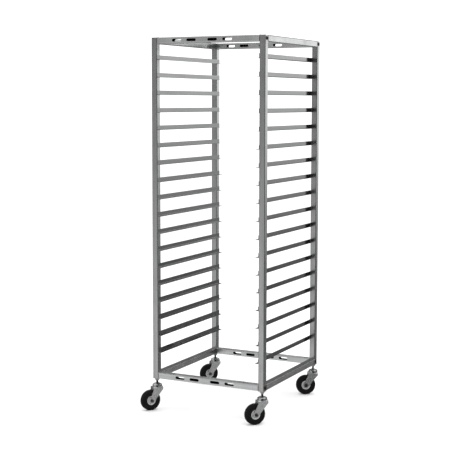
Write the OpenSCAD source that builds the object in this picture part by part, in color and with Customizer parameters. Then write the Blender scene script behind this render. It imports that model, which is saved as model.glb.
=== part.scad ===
// Sheet pan rack: a welded square-tube frame with angle runners for pans, standing on four
// trailing swivel casters. Millimetres, +Z up, front at -Y. The origin is on the floor, in the
// middle of the ground that the rack and its casters cover.

/* [Frame] */
// Width across the outside of the posts
frame_w = 600; // [450:5:750]
// Depth across the outside of the posts
frame_d = 650; // [450:5:850]
// Side of the square tube
tube = 30; // [28:1:40]
// Wall of the square tube
tube_wall = 1.2; // [1:0.1:2]
// Outside corner radius of the square tube
tube_corner_r = 3; // [2.5:0.5:5]

/* [Post ends] */
// Height of the screws from the ends of the posts
screw_inset = 15; // [12:1:18]
// Length of a post's cap below its screw
cap_skirt = 6; // [4:0.5:10]
// Radius of the screws that hold the caps and the stem adapters
screw_r = 4; // [3:0.5:4.5]
// Gap between a screw's tip and the stem
screw_tip_gap = 1; // [0.5:0.5:2]
// Radius of a screw head's flange
screw_flange_r = 8.9; // [7:0.1:10]
// Thickness of a screw head's flange
screw_flange_t = 1.4; // [1:0.1:2]
// Radius of a screw head's dome
screw_dome_r = 7; // [6:0.5:8]
// Height of a screw's head
screw_head_h = 4.4; // [3.5:0.1:6]
// Width across the flats of the socket in a screw
socket_af = 5; // [4:0.5:6]
// Depth of the socket in a screw
socket_depth = 2.6; // [2:0.1:3]

/* [Runners] */
// Number of pan levels
levels = 18; // [6:1:20]
// Height from one level to the next
pitch = 83.5; // [70:0.5:110]
// Underside of the lowest runner above the bottom of the frame
runner_low = 129; // [60:1:200]
// Underside of the highest runner below the top of the frame
runner_top = 105; // [70:1:160]
// Height of a runner's upright leg
runner_h = 21.5; // [15:0.5:30]
// Width of a runner's ledge
runner_ledge = 17; // [12:0.5:30]
// Thickness of the runner angle
runner_t = 1.5; // [1:0.1:2.5]
// Inside bend radius of the runner angle
runner_bend_r = 1; // [0.5:0.25:3]

/* [Crossbar slots] */
// Length of a slot from end to end
slot_len = 50; // [20:1:60]
// Width of a slot
slot_w = 13; // [6:0.5:18]
// Centre distance of the inner pair of slots
slot_inner = 111; // [80:1:140]
// Centre distance of the outer pair of slots
slot_outer = 267; // [230:1:310]
// Slot pattern of the top front crossbar, from the middle of the bar
slot_shift_top_front = -29; // [-60:1:60]
// Slot pattern of the top back crossbar, from the middle of the bar
slot_shift_top_back = -55; // [-60:1:60]
// Slot pattern of the bottom front crossbar, from the middle of the bar
slot_shift_bottom_front = -15; // [-60:1:60]
// Slot pattern of the bottom back crossbar, from the middle of the bar
slot_shift_bottom_back = -12; // [-60:1:60]

/* [Caster wheels] */
// Outside diameter of the tyre
wheel_d = 100; // [75:1:130]
// Width of the tyre
tyre_w = 28; // [22:1:34]
// Radius of the tyre's shoulders
shoulder_r = 7; // [3:0.5:10]
// Outside radius of the hub's rim, where the tyre sits
rim_r = 23; // [20:0.5:28]
// Width of the hub's rim
rim_w = 25; // [18:1:30]
// Radius of the ring groove in each side of the tyre
side_groove_r = 1; // [0.5:0.25:2]
// Wall of the hub's rim
rim_t = 3.5; // [2:0.5:6]
// Thickness of the hub's web
web_t = 7; // [4:1:12]
// Outside radius of the hub's boss
boss_r = 11; // [9:0.5:14]
// Number of ribs between the boss and the rim, on each side of the web
rib_count = 8; // [4:1:12]
// Thickness of a rib
rib_t = 2; // [1:0.5:3]
// Step from the edge of the rim in to the ribs
rib_inset = 2; // [1:0.5:4]
// Gap between the end of the hub's boss and a fork leg
hub_side_gap = 1; // [0.5:0.1:2]

/* [Caster forks] */
// Distance of the axle from the swivel axis
trail = 38; // [25:1:50]
// Space between the legs of the fork
fork_gap = 34; // [30:1:42]
// Thickness of the fork's sheet
fork_t = 2.5; // [2:0.25:4]
// Outside bend radius between the crown and a leg
fork_bend_r = 8; // [4:0.5:9]
// Radius of the leg's end round the axle
leg_end_r = 13; // [10:0.5:16]
// Reach of the crown ahead of the swivel axis
crown_front = 23; // [20:1:26]
// Reach of the crown behind the swivel axis
crown_back = 27; // [20:1:32]
// Straight drop of the leg's edges below the crown
leg_drop = 12; // [6:1:20]
// Gap between the tyre and the underside of the crown
crown_gap = 13.5; // [6:0.5:25]
// Length of the stiffening groove pressed in each leg
groove_len = 30; // [20:1:36]
// Place of the groove's middle, as a share of the way from the crown to the axle
groove_place = 0.4; // [0.3:0.05:0.5]
// Width of the groove in a leg
groove_w = 9; // [5:0.5:12]
// Depth of the groove in a leg
groove_depth = 0.9; // [0.4:0.1:1.2]

/* [Caster swivels] */
// Radius of the stem
stem_r = 5; // [4:0.5:7]
// Length of stem that shows between the dome and the adapter
stem_show = 12; // [6:1:30]
// Radius of the dome over the bearing
dome_r = 23.5; // [20:0.5:26]
// Height of the dome
dome_h = 16.5; // [13:0.5:22]
// Height of the upright band round the dome's rim
dome_band = 7.5; // [5:0.5:9]
// Step from the dome's rim in to the crown's round seat
seat_step = 0.5; // [0:0.25:2]
// Gap between the fork's crown and the dome
race_gap = 1; // [0.5:0.1:2]
// Radius of a bearing ball
ball_r = 2.4; // [2:0.1:3]
// Radius of the ring of balls
ball_ring_r = 16; // [13:0.5:18]
// Gap between the balls and the side of the dome's hollow
race_side_gap = 1.5; // [0.5:0.25:3]
// Number of balls in a bearing
ball_count = 16; // [8:1:18]
// Depth of the balls in the crown
ball_sink = 0.9; // [0.5:0.1:1.5]
// Radius of the riveted foot of the stem
rivet_r = 9; // [7:0.5:12]
// Thickness of the riveted foot of the stem
rivet_t = 3; // [2:0.5:4]
// Length of stem inside the adapter
stem_grip = 30; // [15:1:36]
// Height of the adapter's taper below its flange
taper_h = 10; // [6:1:25]
// Radius of the taper's lower end
taper_r = 8; // [7.5:0.5:10]
// Step from the adapter's flange in to its taper
taper_step = 1; // [0.5:0.25:2]
// Thickness of the adapter's flange
flange_t = 2; // [1:0.5:4]
// Length of the adapter inside the post
plug_len = 40; // [25:1:60]

/* [Axles] */
// Radius of the axle bolt
bolt_r = 4; // [3:0.5:5]
// Width across the flats of the bolt's head and nut
hex_af = 13; // [10:0.5:17]
// Height of the bolt's head
head_h = 5.3; // [4:0.1:7]
// Height of the nut
nut_h = 6.5; // [5:0.1:8]
// Length of bolt past the nut
bolt_tip = 2.5; // [1:0.5:5]
// Thickness of a washer
washer_t = 1.5; // [1:0.1:2.5]
// Radius of a washer
washer_r = 8; // [6:0.5:10]
// Outside radius of the axle bush
bush_r = 6; // [5.5:0.25:7]

/* [Casters at rest] */
// Direction in which the front left caster trails, from +X
trail_front_left = 237; // [0:1:359]
// Direction in which the front right caster trails, from +X
trail_front_right = 229; // [0:1:359]
// Direction in which the back left caster trails, from +X
trail_back_left = 231; // [0:1:359]
// Direction in which the back right caster trails, from +X
trail_back_right = 212; // [0:1:359]

/* [Clearances] */
// Radial running clearance of the hub on its bush, and of the fork on the stem
running = 0.08; // [0.03:0.01:0.1]
// Gap between moving pieces that don't carry each other
apart = 0.3; // [0.2:0.05:0.5]
// Radial clearance of a fastener in a plain hole
hole_gap = 0.1; // [0.05:0.05:0.3]
// Gap between the bolt, the washers and the nut of one axle
slip = 0.05; // [0.02:0.01:0.1]

/* [Hidden] */
$fn = 64;

// Distance by which a cut runs past the surface that it opens, and a rib into its neighbour
over = 1;

// Corners, in the order of every list below
corner_names = ["front_left", "front_right", "back_left", "back_right"];
corner_x = [-1, 1, -1, 1];
corner_y = [-1, -1, 1, 1];
trail_angle = [trail_front_left, trail_front_right, trail_back_left, trail_back_right];

// Heights, from the floor up
wheel_r = wheel_d / 2;
crown_z0 = wheel_d + crown_gap;
crown_z1 = crown_z0 + fork_t;
dome_z0 = crown_z1 + race_gap;
dome_z1 = dome_z0 + dome_h;
taper_z0 = dome_z1 + stem_show;
flange_z0 = taper_z0 + taper_h;
frame_z0 = flange_z0 + flange_t;
frame_h = runner_low + (levels - 1) * pitch + runner_top;
frame_z1 = frame_z0 + frame_h;

// Frame
post_x = (frame_w - tube) / 2;
post_y = (frame_d - tube) / 2;
crossbar_len = frame_w - 2 * tube;
side_rail_len = frame_d - 2 * tube;
tube_inside = tube - 2 * tube_wall;
tube_inside_r = tube_corner_r - tube_wall;

// Screws in the ends of the posts
screw_low_z = frame_z0 + screw_inset;
screw_high_z = frame_z1 - screw_inset;
screw_len = tube / 2 - stem_r - screw_tip_gap;
cap_len = screw_inset + screw_r + cap_skirt;
socket_r = socket_af / 2 / cos(30);

// Swivel bearing
ball_z = crown_z1 + ball_r - ball_sink;
race_z = ball_z + ball_r;
race_r = ball_ring_r + ball_r + race_side_gap;
cap_rise = dome_h - dome_band;
cap_sphere_r = (dome_r * dome_r + cap_rise * cap_rise) / (2 * cap_rise);
seat_r = dome_r - seat_step;

// Fork and axle
fork_w = fork_gap + 2 * fork_t;
bolt_hole_r = bolt_r + hole_gap;
hub_w = fork_gap - 2 * hub_side_gap;
hex_r = hex_af / 2 / cos(30);

// Plan extent of everything at rest, measured from the middle of the frame
function flat_reach(a) = (wheel_r - shoulder_r) * abs(cos(a))
    + (tyre_w / 2 - shoulder_r) * abs(sin(a)) + shoulder_r;
function wheel_x(i) = corner_x[i] * post_x + trail * cos(trail_angle[i]);
function wheel_y(i) = corner_y[i] * post_y + trail * sin(trail_angle[i]);
reach_x = max(frame_w / 2 + screw_head_h, post_x + dome_r);
reach_y = max(frame_d / 2, post_y + dome_r);
low_x = min(-reach_x, min([for (i = [0:3]) wheel_x(i) - flat_reach(trail_angle[i])]));
high_x = max(reach_x, max([for (i = [0:3]) wheel_x(i) + flat_reach(trail_angle[i])]));
low_y = min(-reach_y, min([for (i = [0:3]) wheel_y(i) - flat_reach(90 - trail_angle[i])]));
high_y = max(reach_y, max([for (i = [0:3]) wheel_y(i) + flat_reach(90 - trail_angle[i])]));
middle = [-(low_x + high_x) / 2, -(low_y + high_y) / 2, 0];

function two_digits(n) = str(n < 10 ? "0" : "", n);
function runner_name(level) = str("runner_pair_", two_digits(level));

// ---- Shared shapes ----

// A square with rounded corners, centred
module rounded_square(size, r) {
    square([size, size - 2 * r], center = true);
    square([size - 2 * r, size], center = true);
    for (x = [-1, 1], y = [-1, 1])
        translate([x, y] * (size / 2 - r)) circle(r);
}

// Square tube standing on its lower end
module square_tube(length) {
    linear_extrude(length) difference() {
        rounded_square(tube, tube_corner_r);
        rounded_square(tube_inside, tube_inside_r);
    }
}

// Round-ended slot of the given length along X, cut along Y
module slot(length, width, depth) {
    rotate([90, 0, 0]) linear_extrude(depth, center = true) {
        square([length - width, width], center = true);
        for (x = [-1, 1])
            translate([x * (length - width) / 2, 0]) circle(width / 2);
    }
}

// Moves a piece of the frame to where the frame stands
module on_rack() translate(middle) children();

// Puts a piece on the vertical axis of corner i
module at_corner(i) {
    on_rack() translate([corner_x[i] * post_x, corner_y[i] * post_y, 0]) children();
}

// Puts a caster piece under corner i, with +X along the direction in which it trails
module at_caster(i) at_corner(i) rotate([0, 0, trail_angle[i]]) children();

// Puts a piece on a screw's axis at height z: +Z points into post i from its outer side face
module at_screw(i, z) {
    translate([corner_x[i] * tube / 2, 0, z]) rotate([0, -90 * corner_x[i], 0]) children();
}

// Lays a turned piece, drawn about Z, on the axle
module on_axle() translate([trail, 0, wheel_r]) rotate([-90, 0, 0]) children();

// ---- Frame ----

module post(i) {
    color("silver") at_corner(i) difference() {
        translate([0, 0, frame_z0]) square_tube(frame_h);
        for (z = [screw_low_z, screw_high_z])
            at_screw(i, z) cylinder(h = 4 * tube_wall, r = screw_r + hole_gap, center = true);
    }
}

// Threaded hole for a screw, drilled until it would meet the stem
module screw_bore(i, z) {
    at_screw(i, z) translate([0, 0, -over]) cylinder(h = tube / 2 - stem_r / 2 + over, r = screw_r);
}

// Caps let into the tops of the four posts
module post_caps() {
    color("silver") for (i = [0:3]) at_corner(i) difference() {
        translate([0, 0, frame_z1 - cap_len])
            linear_extrude(cap_len) rounded_square(tube_inside, tube_inside_r);
        screw_bore(i, screw_high_z);
    }
}

// Button-head screws in the outer side faces of the posts, one at each end
module post_screws() {
    dome_rise = screw_head_h - screw_flange_t;
    dome_sphere_r = (screw_dome_r * screw_dome_r + dome_rise * dome_rise) / (2 * dome_rise);
    color("dimgray") for (i = [0:3], z = [screw_low_z, screw_high_z])
        at_corner(i) at_screw(i, z) difference() {
            union() {
                cylinder(h = screw_len, r = screw_r);
                translate([0, 0, -screw_flange_t])
                    cylinder(h = screw_flange_t, r = screw_flange_r);
                intersection() {
                    translate([0, 0, -screw_head_h]) cylinder(h = screw_head_h, r = screw_dome_r);
                    translate([0, 0, dome_sphere_r - screw_head_h]) sphere(dome_sphere_r);
                }
            }
            translate([0, 0, -screw_head_h - over])
                cylinder(h = socket_depth + over, r = socket_r, $fn = 6);
        }
}

// Bar between two posts. The outer pair of slots goes through both walls, and the inner
// pair through the front wall only
module crossbar(end_y, z, shift) {
    color("silver") on_rack() translate([0, end_y * post_y, z + tube / 2]) difference() {
        translate([-crossbar_len / 2, 0, 0]) rotate([0, 90, 0]) square_tube(crossbar_len);
        for (x = [-1, 1]) {
            translate([shift + x * slot_outer / 2, 0, 0])
                slot(slot_len, slot_w, tube + 2 * over);
            translate([shift + x * slot_inner / 2, -tube / 2, 0])
                slot(slot_len, slot_w, tube);
        }
    }
}

module side_rail(side_x, z) {
    color("silver") on_rack()
        translate([side_x * post_x, side_rail_len / 2, z + tube / 2])
            rotate([90, 0, 0]) square_tube(side_rail_len);
}

// Section of a runner: the upright leg stands on X = 0 and the ledge runs along +X
module runner_section() {
    outside_r = runner_bend_r + runner_t;
    difference() {
        union() {
            translate([outside_r, 0]) square([runner_ledge - outside_r, runner_h]);
            translate([0, outside_r]) square([runner_ledge, runner_h - outside_r]);
            translate([outside_r, outside_r]) circle(outside_r);
        }
        translate([outside_r, runner_t]) square([runner_ledge, runner_h]);
        translate([runner_t, outside_r]) square([runner_ledge, runner_h]);
        translate([outside_r, outside_r]) circle(runner_bend_r);
    }
}

// The left and right runners of one level, counted from the top
module runner_pair(level) {
    z = frame_z1 - runner_top - (level - 1) * pitch;
    color("gainsboro") on_rack() for (side = [0, 1]) mirror([side, 0, 0])
        translate([tube - frame_w / 2, frame_d / 2, z])
            rotate([90, 0, 0]) linear_extrude(frame_d) runner_section();
}

// ---- Casters: pieces that stay with the frame ----

// Adapters that carry the caster stems in the open ends of the posts
module stem_adapters() {
    taper_top_r = tube / 2 - taper_step;
    color("darkgray") for (i = [0:3]) at_corner(i) difference() {
        union() {
            translate([0, 0, frame_z0 - flange_t / 2]) linear_extrude(plug_len + flange_t / 2)
                rounded_square(tube_inside, tube_inside_r);
            translate([0, 0, flange_z0])
                linear_extrude(flange_t) rounded_square(tube, tube_corner_r);
            rotate_extrude() polygon([
                [0, taper_z0],
                [taper_r, taper_z0],
                [taper_top_r, flange_z0],
                [taper_top_r, flange_z0 + flange_t / 2],
                [0, flange_z0 + flange_t / 2]
            ]);
        }
        translate([0, 0, taper_z0 - over])
            cylinder(h = taper_h + flange_t + plug_len + 2 * over, r = stem_r);
        screw_bore(i, screw_low_z);
    }
}

// Stems, each with the riveted foot that holds its fork up
module caster_stems() {
    stem_z0 = crown_z0 - apart - rivet_t;
    color("dimgray") for (i = [0:3]) at_caster(i) {
        translate([0, 0, stem_z0]) {
            cylinder(h = taper_z0 + stem_grip - stem_z0, r = stem_r);
            cylinder(h = rivet_t / 2, r1 = rivet_r - rivet_t / 2, r2 = rivet_r);
            translate([0, 0, rivet_t / 2]) cylinder(h = rivet_t / 2, r = rivet_r);
        }
    }
}

module swivel_balls() {
    color("lightgray") for (i = [0:3]) at_caster(i) for (n = [0:ball_count - 1])
        rotate([0, 0, 360 / ball_count * n]) translate([ball_ring_r, 0, ball_z]) sphere(ball_r);
}

// Domed upper race, hollow underneath for the balls
module dome(i) {
    color("gainsboro") at_caster(i) difference() {
        intersection() {
            translate([0, 0, dome_z0]) cylinder(h = dome_h, r = dome_r);
            translate([0, 0, dome_z1 - cap_sphere_r]) sphere(cap_sphere_r);
        }
        translate([0, 0, dome_z0 - over]) cylinder(h = race_z - dome_z0 + over, r = race_r);
        translate([0, 0, dome_z0 - over]) cylinder(h = dome_h + 2 * over, r = stem_r);
    }
}

// ---- Casters: pieces that swivel ----

// Section across the fork: a channel open at the bottom, with bent shoulders
module fork_section() {
    module arch(width, top, r) {
        translate([-width / 2, 0]) square([width, top - r]);
        translate([r - width / 2, 0]) square([width - 2 * r, top]);
        for (side = [-1, 1])
            translate([side * (width / 2 - r), top - r]) circle(r);
    }
    difference() {
        arch(fork_w, crown_z1, fork_bend_r);
        translate([0, -over]) arch(fork_gap, crown_z0 + over, fork_bend_r - fork_t);
    }
}

// Side view of the fork: from the crown down to the round ends of the legs. Each edge runs
// from a corner under the crown along the tangent to the round end
module fork_side() {
    edge_z = crown_z0 - leg_drop;
    function tangent(x, side) =
        let (dx = x - trail, dz = edge_z - wheel_r, far = sqrt(dx * dx + dz * dz))
        let (a = atan2(dz, dx) + side * acos(leg_end_r / far))
        [trail + leg_end_r * cos(a), wheel_r + leg_end_r * sin(a)];
    polygon([
        [-crown_front, crown_z1],
        [-crown_front, edge_z],
        tangent(-crown_front, 1),
        [trail, wheel_r],
        tangent(crown_back, -1),
        [crown_back, edge_z],
        [crown_back, crown_z1]
    ]);
    translate([trail, wheel_r]) circle(leg_end_r);
}

// Round-ended groove along the middle of a leg, cut in both outer faces
module leg_grooves() {
    top = [(crown_back - crown_front) / 2, crown_z0 - leg_drop];
    foot = [trail, wheel_r];
    along = foot - top;
    middle_of_leg = top + along * groove_place;
    for (side = [-1, 1])
        translate([middle_of_leg[0], side * fork_w / 2, middle_of_leg[1]])
            rotate([0, -atan2(along[1], along[0]), 0])
                slot(groove_len, groove_w, 2 * groove_depth);
}

module fork(i) {
    color("lightsteelblue") at_caster(i) difference() {
        union() {
            intersection() {
                translate([-2 * crown_front, 0, 0]) rotate([90, 0, 90])
                    linear_extrude(trail + 4 * crown_front) fork_section();
                rotate([90, 0, 0]) linear_extrude(fork_w + 2 * over, center = true) fork_side();
            }
            translate([0, 0, crown_z0]) cylinder(h = fork_t, r = seat_r);
        }
        translate([0, 0, crown_z0 - over])
            cylinder(h = fork_t + 2 * over, r = stem_r + running);
        rotate_extrude() translate([ball_ring_r, ball_z]) circle(ball_r + apart);
        on_axle() cylinder(h = fork_w + 2 * over, r = bolt_hole_r, center = true);
        leg_grooves();
    }
}

// Axle bolt with its two washers and its nut, four separate pieces
module axle_bolt(i) {
    seat = fork_w / 2;
    head_z = -seat - washer_t - slip;
    nut_z = seat + washer_t + slip;
    module ring(z, h, bore_r) {
        translate([0, 0, z]) difference() {
            children();
            translate([0, 0, -over]) cylinder(h = h + 2 * over, r = bore_r);
        }
    }
    color("gray") at_caster(i) on_axle() {
        translate([0, 0, head_z - head_h]) cylinder(h = head_h, r = hex_r, $fn = 6);
        translate([0, 0, head_z]) cylinder(h = nut_z + nut_h + bolt_tip - head_z, r = bolt_r);
        for (z = [-seat - washer_t, seat])
            ring(z, washer_t, bolt_hole_r) cylinder(h = washer_t, r = washer_r);
        ring(nut_z, nut_h, bolt_r + slip) cylinder(h = nut_h, r = hex_r, $fn = 6);
    }
}

// Steel tube on the bolt, held between the legs, on which the hub turns
module axle_bush(i) {
    color("silver") at_caster(i) on_axle() difference() {
        cylinder(h = fork_gap, r = bush_r, center = true);
        cylinder(h = fork_gap + 2 * over, r = bolt_hole_r, center = true);
    }
}

// ---- Casters: pieces that roll ----

module hub(i) {
    rim_in_r = rim_r - rim_t;
    color("gainsboro") at_caster(i) on_axle() difference() {
        union() {
            cylinder(h = hub_w, r = boss_r, center = true);
            cylinder(h = web_t, r = rim_in_r + over, center = true);
            difference() {
                cylinder(h = rim_w, r = rim_r, center = true);
                cylinder(h = rim_w + 2 * over, r = rim_in_r, center = true);
            }
            for (n = [0:rib_count - 1]) rotate([0, 0, 360 / rib_count * n])
                translate([(boss_r + rim_in_r) / 2, 0, 0])
                    cube([rim_in_r - boss_r + over, rib_t, rim_w - 2 * rib_inset], center = true);
        }
        cylinder(h = hub_w + 2 * over, r = bush_r + running, center = true);
    }
}

// Tyre with rounded shoulders and a shallow ring groove in each side
module tyre(i) {
    half = tyre_w / 2;
    groove_r = (rim_r + wheel_r) / 2;
    color("black") at_caster(i) on_axle() rotate_extrude() difference() {
        union() {
            translate([rim_r, -half]) square([wheel_r - shoulder_r - rim_r, tyre_w]);
            translate([rim_r, shoulder_r - half])
                square([wheel_r - rim_r, tyre_w - 2 * shoulder_r]);
            for (side = [-1, 1])
                translate([wheel_r - shoulder_r, side * (half - shoulder_r)]) circle(shoulder_r);
        }
        for (side = [-1, 1])
            translate([groove_r, side * half]) circle(side_groove_r);
    }
}

// ---- Nodes ----

for (i = [0:3]) {
    post(i);
    dome(i);
    fork(i);
    axle_bolt(i);
    axle_bush(i);
    hub(i);
    tyre(i);
}
for (level = [1:levels])
    runner_pair(level);

bar_top = frame_z1 - tube;
post_caps();
post_screws();
crossbar(-1, bar_top, slot_shift_top_front);  // crossbar_top_front
crossbar(1, bar_top, slot_shift_top_back);  // crossbar_top_back
crossbar(-1, frame_z0, slot_shift_bottom_front);  // crossbar_bottom_front
crossbar(1, frame_z0, slot_shift_bottom_back);  // crossbar_bottom_back
side_rail(-1, bar_top);  // side_rail_top_left
side_rail(1, bar_top);  // side_rail_top_right
side_rail(-1, frame_z0);  // side_rail_bottom_left
side_rail(1, frame_z0);  // side_rail_bottom_right
stem_adapters();
caster_stems();
swivel_balls();
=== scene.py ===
"""Sheet pan rack: materials, welds, stage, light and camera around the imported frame."""
import math
import random

import bmesh
import bpy
from mathutils import Matrix, Vector


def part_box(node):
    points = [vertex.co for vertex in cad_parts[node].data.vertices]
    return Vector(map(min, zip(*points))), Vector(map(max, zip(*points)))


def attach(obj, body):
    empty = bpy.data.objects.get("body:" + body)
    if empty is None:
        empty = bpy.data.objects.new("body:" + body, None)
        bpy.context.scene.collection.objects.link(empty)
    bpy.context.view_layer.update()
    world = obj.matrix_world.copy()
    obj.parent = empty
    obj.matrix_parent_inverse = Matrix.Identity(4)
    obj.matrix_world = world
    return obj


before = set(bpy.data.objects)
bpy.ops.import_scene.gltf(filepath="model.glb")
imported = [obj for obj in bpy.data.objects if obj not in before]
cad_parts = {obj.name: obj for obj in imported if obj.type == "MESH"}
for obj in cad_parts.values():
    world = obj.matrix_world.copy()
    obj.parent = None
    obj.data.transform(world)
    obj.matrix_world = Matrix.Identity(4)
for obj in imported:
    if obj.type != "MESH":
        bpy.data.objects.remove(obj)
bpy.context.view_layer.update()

# ---- Measures read from the frame, in metres ----

CORNERS = ("front_left", "front_right", "back_left", "back_right")
POSTS = {corner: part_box("post_" + corner) for corner in CORNERS}
TUBE = POSTS["front_left"][1].x - POSTS["front_left"][0].x
FRAME_LOW = POSTS["front_left"][0].z
FRAME_HIGH = POSTS["front_left"][1].z
RUNNERS = sorted(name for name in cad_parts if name.startswith("runner_pair_"))
RUNNER_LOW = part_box(RUNNERS[-1])[0].z
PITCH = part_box(RUNNERS[0])[0].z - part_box(RUNNERS[1])[0].z
MIDDLE = (POSTS["front_left"][0] + POSTS["back_right"][1]) / 2
AXIS_OFF = (POSTS["back_right"][1] - POSTS["front_left"][0]) / 2 - Vector((TUBE, TUBE, TUBE)) / 2
TUBE_WALL = 0.0012
WALL_MIDDLE = (TUBE - TUBE_WALL) / 2

# ---- Camera ----

CAMERA_PLACE = (2.5168, -5.0222, 1.5070)
CAMERA_YAW = math.radians(26.69)
CAMERA_DROP = math.radians(5.745)
CAMERA_ROLL = math.radians(0.104)
CAMERA_LENS = 88.98
CAMERA_SHIFT = -0.030


def add_camera():
    data = bpy.data.cameras.new("photo_camera")
    data.lens = CAMERA_LENS
    data.shift_y = CAMERA_SHIFT
    data.sensor_width = 36.0
    camera = bpy.data.objects.new("photo_camera", data)
    camera.matrix_world = (
        Matrix.Translation(CAMERA_PLACE)
        @ Matrix.Rotation(CAMERA_YAW, 4, "Z")
        @ Matrix.Rotation(math.pi / 2 - CAMERA_DROP, 4, "X")
        @ Matrix.Rotation(CAMERA_ROLL, 4, "Z")
    )
    bpy.context.scene.collection.objects.link(camera)
    bpy.context.scene.camera = camera


# ---- Node helpers ----


class Shader:
    """A node tree with short calls for the nodes that the materials share."""

    def __init__(self, tree):
        self.tree = tree
        tree.nodes.clear()

    def node(self, kind, **settings):
        made = self.tree.nodes.new(kind)
        for key, value in settings.items():
            setattr(made, key, value)
        return made

    def link(self, value, socket):
        """Links an output, or sets a plain value."""
        if isinstance(value, bpy.types.NodeSocket):
            self.tree.links.new(value, socket)
        else:
            socket.default_value = value

    def math(self, operation, a, b=0.0, clamp=False):
        made = self.node("ShaderNodeMath", operation=operation, use_clamp=clamp)
        self.link(a, made.inputs[0])
        self.link(b, made.inputs[1])
        return made.outputs[0]

    def ramp(self, value, low, high, out_low=0.0, out_high=1.0):
        """Smooth step from out_low at low to out_high at high."""
        made = self.node("ShaderNodeMapRange", interpolation_type="SMOOTHSTEP")
        for socket, number in zip(made.inputs, (value, low, high, out_low, out_high)):
            self.link(number, socket)
        return made.outputs[0]

    def mix(self, factor, a, b):
        made = self.node("ShaderNodeMix", data_type="RGBA")
        self.link(factor, made.inputs[0])
        self.link(a, made.inputs[6])
        self.link(b, made.inputs[7])
        return made.outputs[2]

    def noise(self, vector, scale, detail=3.0, roughness=0.5):
        """Noise from 0 to 1. scale is in features per metre, one number or one per axis."""
        scales = scale if isinstance(scale, tuple) else (scale,) * 3
        mapping = self.node("ShaderNodeMapping")
        mapping.inputs["Scale"].default_value = scales
        self.link(vector, mapping.inputs["Vector"])
        made = self.node("ShaderNodeTexNoise")
        made.inputs["Scale"].default_value = 1.0
        made.inputs["Detail"].default_value = detail
        made.inputs["Roughness"].default_value = roughness
        self.link(mapping.outputs[0], made.inputs["Vector"])
        return made.outputs[0]

    def axes(self, vector):
        made = self.node("ShaderNodeSeparateXYZ")
        self.link(vector, made.inputs[0])
        return made.outputs


def grey(level, tint=(1.0, 1.0, 1.0)):
    return (level * tint[0], level * tint[1], level * tint[2], 1.0)


def new_material(name):
    material = bpy.data.materials.new(name)
    material.use_nodes = True
    shader = Shader(material.node_tree)
    surface = shader.node("ShaderNodeBsdfPrincipled")
    output = shader.node("ShaderNodeOutputMaterial")
    shader.link(surface.outputs[0], output.inputs["Surface"])
    where = shader.node("ShaderNodeTexCoord").outputs["Object"]
    return material, shader, surface, where


def bump(shader, surface, height, distance, strength):
    made = shader.node("ShaderNodeBump")
    made.inputs["Strength"].default_value = strength
    made.inputs["Distance"].default_value = distance
    shader.link(height, made.inputs["Height"])
    shader.link(made.outputs[0], surface.inputs["Normal"])


# ---- Materials ----

GRAIN_ALONG = 25.0
GRAIN_ACROSS = 2600.0
COOL = (0.985, 0.995, 1.0)
STRAW = (0.42, 0.36, 0.20, 1.0)
# Painted shade: the inside of the tubes is painted near black.
TUBE_INSIDE_SHADE = 0.012
HEAT_REACH = 1.6 * TUBE
LEVEL_HEAT = 0.35
HEAT_TINT = 0.25


def inside_tube(shader, where, axis):
    """1 on the inner faces of the frame's tubes that run along an axis, and 0 outside them; it masks
    the painted shade inside the tubes.
    """
    far = 0.0
    for k, place in enumerate(shader.axes(where)):
        if k != "XYZ".index(axis):
            off = shader.math("ABSOLUTE", shader.math("SUBTRACT", place, MIDDLE[k]))
            gap = shader.math("ABSOLUTE", shader.math("SUBTRACT", off, AXIS_OFF[k]))
            far = shader.math("MAXIMUM", far, gap)
    return shader.math("LESS_THAN", far, WALL_MIDDLE)


def heat_bands(shader, height):
    """How near a height is to a welded joint: the runner levels and both ends of a post."""
    turn = shader.math("DIVIDE", shader.math("SUBTRACT", height, RUNNER_LOW), PITCH)
    off = shader.math("PINGPONG", turn, 0.5)
    level = shader.ramp(off, 0.30, 0.05)
    ends = [
        shader.ramp(height, FRAME_HIGH - HEAT_REACH, FRAME_HIGH - TUBE),
        shader.ramp(height, FRAME_LOW + HEAT_REACH, FRAME_LOW + TUBE),
    ]
    at_levels = shader.math("MULTIPLY", level, LEVEL_HEAT)
    return shader.math("MAXIMUM", at_levels, shader.math("MAXIMUM", *ends))


def brushed_steel(name, axis, level, roughness, anisotropy, paint_inside_shade=True, welded=False):
    """Stainless steel with its grain along one axis, faint smudges, painted shade (near black)
    on the inside of the tubes and, on posts, heat tint near the welds."""
    material, shader, surface, where = new_material(name)
    scales = [GRAIN_ACROSS] * 3
    scales["XYZ".index(axis)] = GRAIN_ALONG
    grain = shader.noise(where, tuple(scales), detail=4.0, roughness=0.65)
    smudge = shader.noise(where, 9.0, detail=5.0, roughness=0.6)
    streak = shader.noise(where, tuple(s / 12.0 for s in scales), detail=2.0)
    tone = shader.math("ADD", shader.math("MULTIPLY", grain, 0.5), shader.math("MULTIPLY", streak, 0.5))
    colour = shader.mix(
        shader.ramp(tone, 0.3, 0.7), grey(level * 0.86, COOL), grey(level * 1.1, COOL)
    )
    if welded:
        patchy = shader.ramp(shader.noise(where, 60.0), 0.35, 0.75)
        tint = shader.math("MULTIPLY", heat_bands(shader, shader.axes(where)[2]), patchy)
        colour = shader.mix(shader.math("MULTIPLY", tint, HEAT_TINT), colour, STRAW)
    # Painted shade: the inner faces of each tube are painted near black, where shade falls.
    if paint_inside_shade:
        colour = shader.mix(inside_tube(shader, where, axis), colour, grey(TUBE_INSIDE_SHADE))
    shader.link(colour, surface.inputs["Base Color"])
    rough = shader.ramp(smudge, 0.3, 0.75, roughness * 0.8, roughness * 1.35)
    shader.link(rough, surface.inputs["Roughness"])
    surface.inputs["Metallic"].default_value = 1.0
    surface.inputs["Anisotropic"].default_value = anisotropy
    tangent = shader.node("ShaderNodeTangent", direction_type="RADIAL", axis=axis)
    shader.link(tangent.outputs[0], surface.inputs["Tangent"])
    bump(shader, surface, grain, 0.00002, 0.25)
    return material


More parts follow.
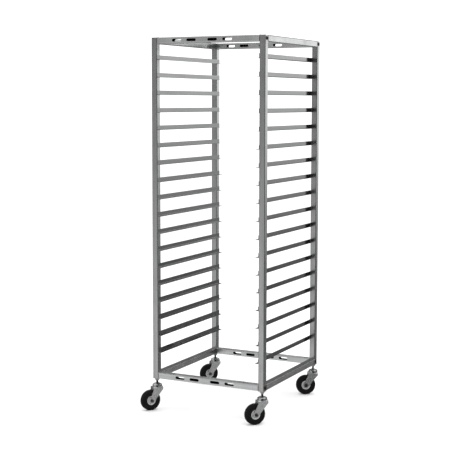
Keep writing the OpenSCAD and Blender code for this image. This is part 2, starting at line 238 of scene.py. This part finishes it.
def plated(name, level, tint, roughness, mottle, metallic=1.0):
    """Zinc or chrome plate: bright, with a faint cloudy pattern and fine pits."""
    material, shader, surface, where = new_material(name)
    cloud = shader.noise(where, 120.0, detail=4.0, roughness=0.6)
    colour = shader.mix(
        shader.ramp(cloud, 0.3, 0.7), grey(level * (1.0 - mottle), tint), grey(level, tint)
    )
    shader.link(colour, surface.inputs["Base Color"])
    rough = shader.ramp(cloud, 0.25, 0.8, roughness * 0.7, roughness * 1.5)
    shader.link(rough, surface.inputs["Roughness"])
    surface.inputs["Metallic"].default_value = metallic
    pits = shader.noise(where, 1800.0, detail=2.0)
    bump(shader, surface, pits, 0.00003, 0.2)
    return material


def rubber(name):
    """Black tyre rubber: dull, with moulding grain and a little dust in patches."""
    material, shader, surface, where = new_material(name)
    grain = shader.noise(where, 1500.0, detail=3.0)
    dust = shader.ramp(shader.noise(where, 70.0, detail=5.0, roughness=0.7), 0.5, 0.8, 0.0, 0.3)
    colour = shader.mix(dust, grey(0.005), grey(0.03, (1.0, 0.98, 0.95)))
    shader.link(colour, surface.inputs["Base Color"])
    shader.link(shader.ramp(grain, 0.3, 0.7, 0.5, 0.7), surface.inputs["Roughness"])
    surface.inputs["Specular IOR Level"].default_value = 0.2
    bump(shader, surface, grain, 0.00008, 0.3)
    return material


def nylon(name):
    """Light grey moulded nylon with a faint flow pattern and a fine matt texture."""
    material, shader, surface, where = new_material(name)
    flow = shader.noise(where, 45.0, detail=4.0, roughness=0.55)
    colour = shader.mix(
        shader.ramp(flow, 0.3, 0.7), grey(0.50, (1.0, 1.0, 0.985)), grey(0.60, (1.0, 1.0, 0.985))
    )
    shader.link(colour, surface.inputs["Base Color"])
    texture = shader.noise(where, 2200.0, detail=2.0)
    shader.link(shader.ramp(texture, 0.3, 0.7, 0.32, 0.45), surface.inputs["Roughness"])
    bump(shader, surface, texture, 0.00003, 0.3)
    return material


def weld_metal(name):
    """Weld bead: bright ripples in a straw and grey heat tint."""
    material, shader, surface, where = new_material(name)
    cloud = shader.noise(where, 260.0, detail=4.0, roughness=0.65)
    colour = shader.mix(shader.ramp(cloud, 0.35, 0.7), grey(0.16, (1.0, 0.94, 0.82)), grey(0.5))
    shader.link(colour, surface.inputs["Base Color"])
    shader.link(shader.ramp(cloud, 0.3, 0.7, 0.22, 0.45), surface.inputs["Roughness"])
    surface.inputs["Metallic"].default_value = 1.0
    bump(shader, surface, shader.noise(where, 3000.0), 0.00004, 0.3)
    return material


def dress(nodes, material):
    for name in nodes:
        mesh_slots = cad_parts[name].material_slots
        for slot in mesh_slots:
            slot.material = material


MERGE_WITHIN = 0.000002
SHARP_ANGLE = math.radians(38)
EDGE_ROUND = 0.0005


def soften(nodes, width):
    """Rounds the sharp edges of CAD nodes, so that they catch light."""
    for name in nodes:
        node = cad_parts[name]
        merge = node.modifiers.new("merge", "WELD")
        merge.merge_threshold = MERGE_WITHIN
        edge = node.modifiers.new("edge", "BEVEL")
        edge.width = width
        edge.segments = 2
        edge.limit_method = "ANGLE"
        edge.angle_limit = SHARP_ANGLE
        edge.harden_normals = True


def each(prefix):
    return [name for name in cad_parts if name.startswith(prefix)]


def dress_frame():
    """Gives every node its material, by kind of piece."""
    posts = ["post_" + corner for corner in CORNERS]
    # The posts, crossbars, side rails and runners are one stainless steel. Their base levels differ as
    # painted light and shade: the crossbars (0.86) and side rails (0.74) are painted lighter, and the
    # runners (0.36) painted darker, than the posts (0.62).
    dress(posts, brushed_steel("post_steel", "Z", 0.62, 0.24, 0.5, welded=True))
    dress(["post_caps"], plated("cap_plate", 0.55, COOL, 0.25, 0.15))
    dress(["post_screws"], plated("screw_plate", 0.07, COOL, 0.3, 0.3))
    dress(each("crossbar_"), brushed_steel("crossbar_steel", "X", 0.86, 0.30, 0.6))
    dress(each("side_rail_"), brushed_steel("side_rail_steel", "Y", 0.74, 0.22, 0.7))
    dress(RUNNERS, brushed_steel("runner_steel", "Y", 0.36, 0.14, 0.3, paint_inside_shade=False))
    dress(["stem_adapters"], plated("adapter_plate", 0.5, COOL, 0.32, 0.2, 0.7))
    dress(["caster_stems"], plated("stem_plate", 0.10, (1.0, 0.98, 0.95), 0.35, 0.3))
    dress(["swivel_balls"], plated("ball_plate", 0.7, COOL, 0.08, 0.05))
    dress(each("dome_"), plated("dome_plate", 0.60, COOL, 0.08, 0.12))
    dress(each("fork_"), plated("fork_plate", 0.76, COOL, 0.18, 0.25, 0.8))
    dress(each("axle_bolt_") + each("axle_bush_"), plated("axle_plate", 0.2, COOL, 0.28, 0.25))
    dress(each("hub_"), nylon("hub_nylon"))
    dress(each("tyre_"), rubber("tyre_rubber"))
    soften(each("fork_") + each("axle_bolt_") + each("hub_") + ["stem_adapters"], EDGE_ROUND)


# ---- Welds ----

RIPPLE = 0.0022
RIPPLE_SHAPE = ((0.0, 0.86), (0.35, 1.0), (0.8, 1.03))
RIPPLE_SPREAD = (0.88, 1.12)
BEAD_SIDES = 8
BAR_BEAD_R = 0.0016
RUNNER_BEAD_R = 0.0014
BAR_BEAD_TRIM = 0.004
RUNNER_BEAD_TRIM = 0.0005
TOUCHING = 0.001


def bead(mesh, start, end, radius, rng):
    """One weld bead from start to end: a round rib whose overlapping ripples vary a little."""
    start, end = Vector(start), Vector(end)
    along = end - start
    direction = along.normalized()
    side = direction.orthogonal().normalized()
    up = direction.cross(side)
    ripples = max(3, round(along.length / RIPPLE))
    rings = []
    for ripple in range(ripples):
        size = radius * rng.uniform(*RIPPLE_SPREAD)
        for share, swell in RIPPLE_SHAPE:
            at = start + along * ((ripple + share) / ripples)
            tip = min(1.0, (ripple + share + 0.4) / 1.5, (ripples - ripple - share + 0.2) / 1.5)
            ring_r = size * swell * math.sqrt(tip)
            rings.append([
                mesh.verts.new(at + (side * math.cos(turn) + up * math.sin(turn)) * ring_r)
                for turn in (math.tau * k / BEAD_SIDES for k in range(BEAD_SIDES))
            ])
    for a, b in zip(rings, rings[1:]):
        for k in range(BEAD_SIDES):
            after = (k + 1) % BEAD_SIDES
            face = mesh.faces.new((a[k], a[after], b[after], b[k]))
            face.smooth = True
    mesh.faces.new(rings[0][::-1])
    mesh.faces.new(rings[-1])


def bead_piece(name, beads, material):
    mesh = bmesh.new()
    rng = random.Random(name)
    for start, end, radius in beads:
        bead(mesh, start, end, radius, rng)
    bmesh.ops.recalc_face_normals(mesh, faces=mesh.faces)
    data = bpy.data.meshes.new(name)
    mesh.to_mesh(data)
    mesh.free()
    data.materials.append(material)
    piece = bpy.data.objects.new(name, data)
    bpy.context.scene.collection.objects.link(piece)
    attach(piece, "root")


def joint_beads(bar, axis, radius):
    """Beads round both ends of a bar, along the four edges of its end, on the posts' faces."""
    low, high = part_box(bar)
    across = 1 - axis
    found = []
    for end in (low[axis], high[axis]):
        for side in (low[across], high[across]):
            a = [0.0, 0.0, low.z + BAR_BEAD_TRIM]
            a[axis], a[across] = end, side
            b = list(a)
            b[2] = high.z - BAR_BEAD_TRIM
            found.append((a, b, radius))
        for height in (low.z, high.z):
            a = [0.0, 0.0, height]
            a[axis], a[across] = end, low[across] + BAR_BEAD_TRIM
            b = list(a)
            b[across] = high[across] - BAR_BEAD_TRIM
            found.append((a, b, radius))
    return found


def runner_beads(level_node, radius):
    """Short upright beads where a runner's outer face meets the edge of each post."""
    low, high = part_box(level_node)
    found = []
    for x in (low.x, high.x):
        for corner in CORNERS:
            post_low, post_high = POSTS[corner]
            if not post_low.x - TOUCHING < x < post_high.x + TOUCHING:
                continue
            y = post_high.y if "front" in corner else post_low.y
            start = (x, y, low.z + RUNNER_BEAD_TRIM)
            end = (x, y, high.z - RUNNER_BEAD_TRIM)
            found.append((start, end, radius))
    return found


def add_welds():
    metal = weld_metal("weld_metal")
    bars = []
    for name in each("crossbar_"):
        bars += joint_beads(name, 0, BAR_BEAD_R)
    for name in each("side_rail_"):
        bars += joint_beads(name, 1, BAR_BEAD_R)
    bead_piece("bar_welds", bars, metal)
    levels = []
    for name in RUNNERS:
        levels += runner_beads(name, RUNNER_BEAD_R)
    bead_piece("runner_welds", levels, metal)


# ---- Stage and light ----

TO_CAMERA = (math.sin(CAMERA_YAW), -math.cos(CAMERA_YAW))
BACK_RIGHT = (math.sin(CAMERA_YAW), math.cos(CAMERA_YAW))
FRONT_LEFT = (-math.sin(CAMERA_YAW), -math.cos(CAMERA_YAW))
BACK_LEFT = (-math.sin(CAMERA_YAW), math.cos(CAMERA_YAW))
DOME_LIGHT = 1.35
NO_LENGTH = 0.001


def studio_world():
    """White where the camera looks past the object, and soft white light on all that is dull.
    The steel sees a studio: a bright panel at the back right that ends a little above eye level,
    a grey wall at the front left, a dark room towards the camera, and a lit ceiling. Heights
    are the Z of a direction."""
    world = bpy.data.worlds.new("studio")
    world.use_nodes = True
    bpy.context.scene.world = world
    shader = Shader(world.node_tree)
    where = shader.node("ShaderNodeTexCoord").outputs["Generated"]
    x, y, z = shader.axes(where)
    flat = shader.math(
        "SQRT", shader.math("ADD", shader.math("MULTIPLY", x, x), shader.math("MULTIPLY", y, y))
    )

    def facing(direction, inner, outer):
        """1 within inner degrees of a plan direction, and 0 beyond outer."""
        dot = shader.math(
            "ADD",
            shader.math("MULTIPLY", x, direction[0]),
            shader.math("MULTIPLY", y, direction[1]),
        )
        cosine = shader.math("DIVIDE", dot, shader.math("MAXIMUM", flat, NO_LENGTH))
        return shader.ramp(
            cosine, math.cos(math.radians(outer)), math.cos(math.radians(inner))
        )

    level = shader.ramp(z, 0.25, 0.75, 0.22, 0.8)
    panel_foot = shader.ramp(z, -0.16, 0.07, 0.15, 1.15)
    panel_top = shader.ramp(z, 0.11, 0.20, 1.0, 0.05)
    panel = shader.math("MULTIPLY", panel_foot, panel_top)
    walls = (
        (BACK_RIGHT, 25.0, 50.0, panel),
        (FRONT_LEFT, 20.0, 45.0, shader.ramp(z, -0.22, 0.02, 0.62, 0.24)),
        (BACK_LEFT, 15.0, 40.0, shader.ramp(z, 0.0, 0.12, 0.30, 0.12)),
        (TO_CAMERA, 18.0, 34.0, 0.004),
    )
    for direction, inner, outer, brightness in walls:
        near = facing(direction, inner, outer)
        low = shader.math("MULTIPLY", near, shader.ramp(z, 0.75, 0.35))
        kept = shader.math("MULTIPLY", level, shader.math("SUBTRACT", 1.0, low))
        level = shader.math("ADD", kept, shader.math("MULTIPLY", brightness, low))
    path = shader.node("ShaderNodeLightPath").outputs
    plain = shader.math("SUBTRACT", 1.0, path["Is Glossy Ray"])
    lit = shader.node("ShaderNodeBackground")
    shader.link(shader.mix(plain, level, grey(DOME_LIGHT)), lit.inputs["Color"])
    output = shader.node("ShaderNodeOutputWorld")
    shader.link(lit.outputs[0], output.inputs["Surface"])


def add_ceiling_light():
    data = bpy.data.lights.new("ceiling_light", "AREA")
    data.shape = "SQUARE"
    data.size = 4.0
    data.energy = 60.0
    light = bpy.data.objects.new("ceiling_light", data)
    light.location = (0.0, 0.0, 4.5)
    light.visible_glossy = False
    light.visible_camera = False
    bpy.context.scene.collection.objects.link(light)


def add_stage():
    half = 30.0
    mesh = bpy.data.meshes.new("floor")
    corners = [(-half, -half, 0.0), (half, -half, 0.0), (half, half, 0.0), (-half, half, 0.0)]
    mesh.from_pydata(corners, [], [(0, 1, 2, 3)])
    material, shader, surface, _ = new_material("pale_floor")
    surface.inputs["Base Color"].default_value = (0.9, 0.9, 0.9, 1.0)
    surface.inputs["Roughness"].default_value = 0.9
    surface.inputs["Specular IOR Level"].default_value = 0.0
    mesh.materials.append(material)
    floor = bpy.data.objects.new("floor", mesh)
    floor.visible_glossy = False
    bpy.context.scene.collection.objects.link(floor)
    add_ceiling_light()


add_camera()
dress_frame()
add_welds()
studio_world()
add_stage()
bpy.context.scene.view_settings.view_transform = "Standard"
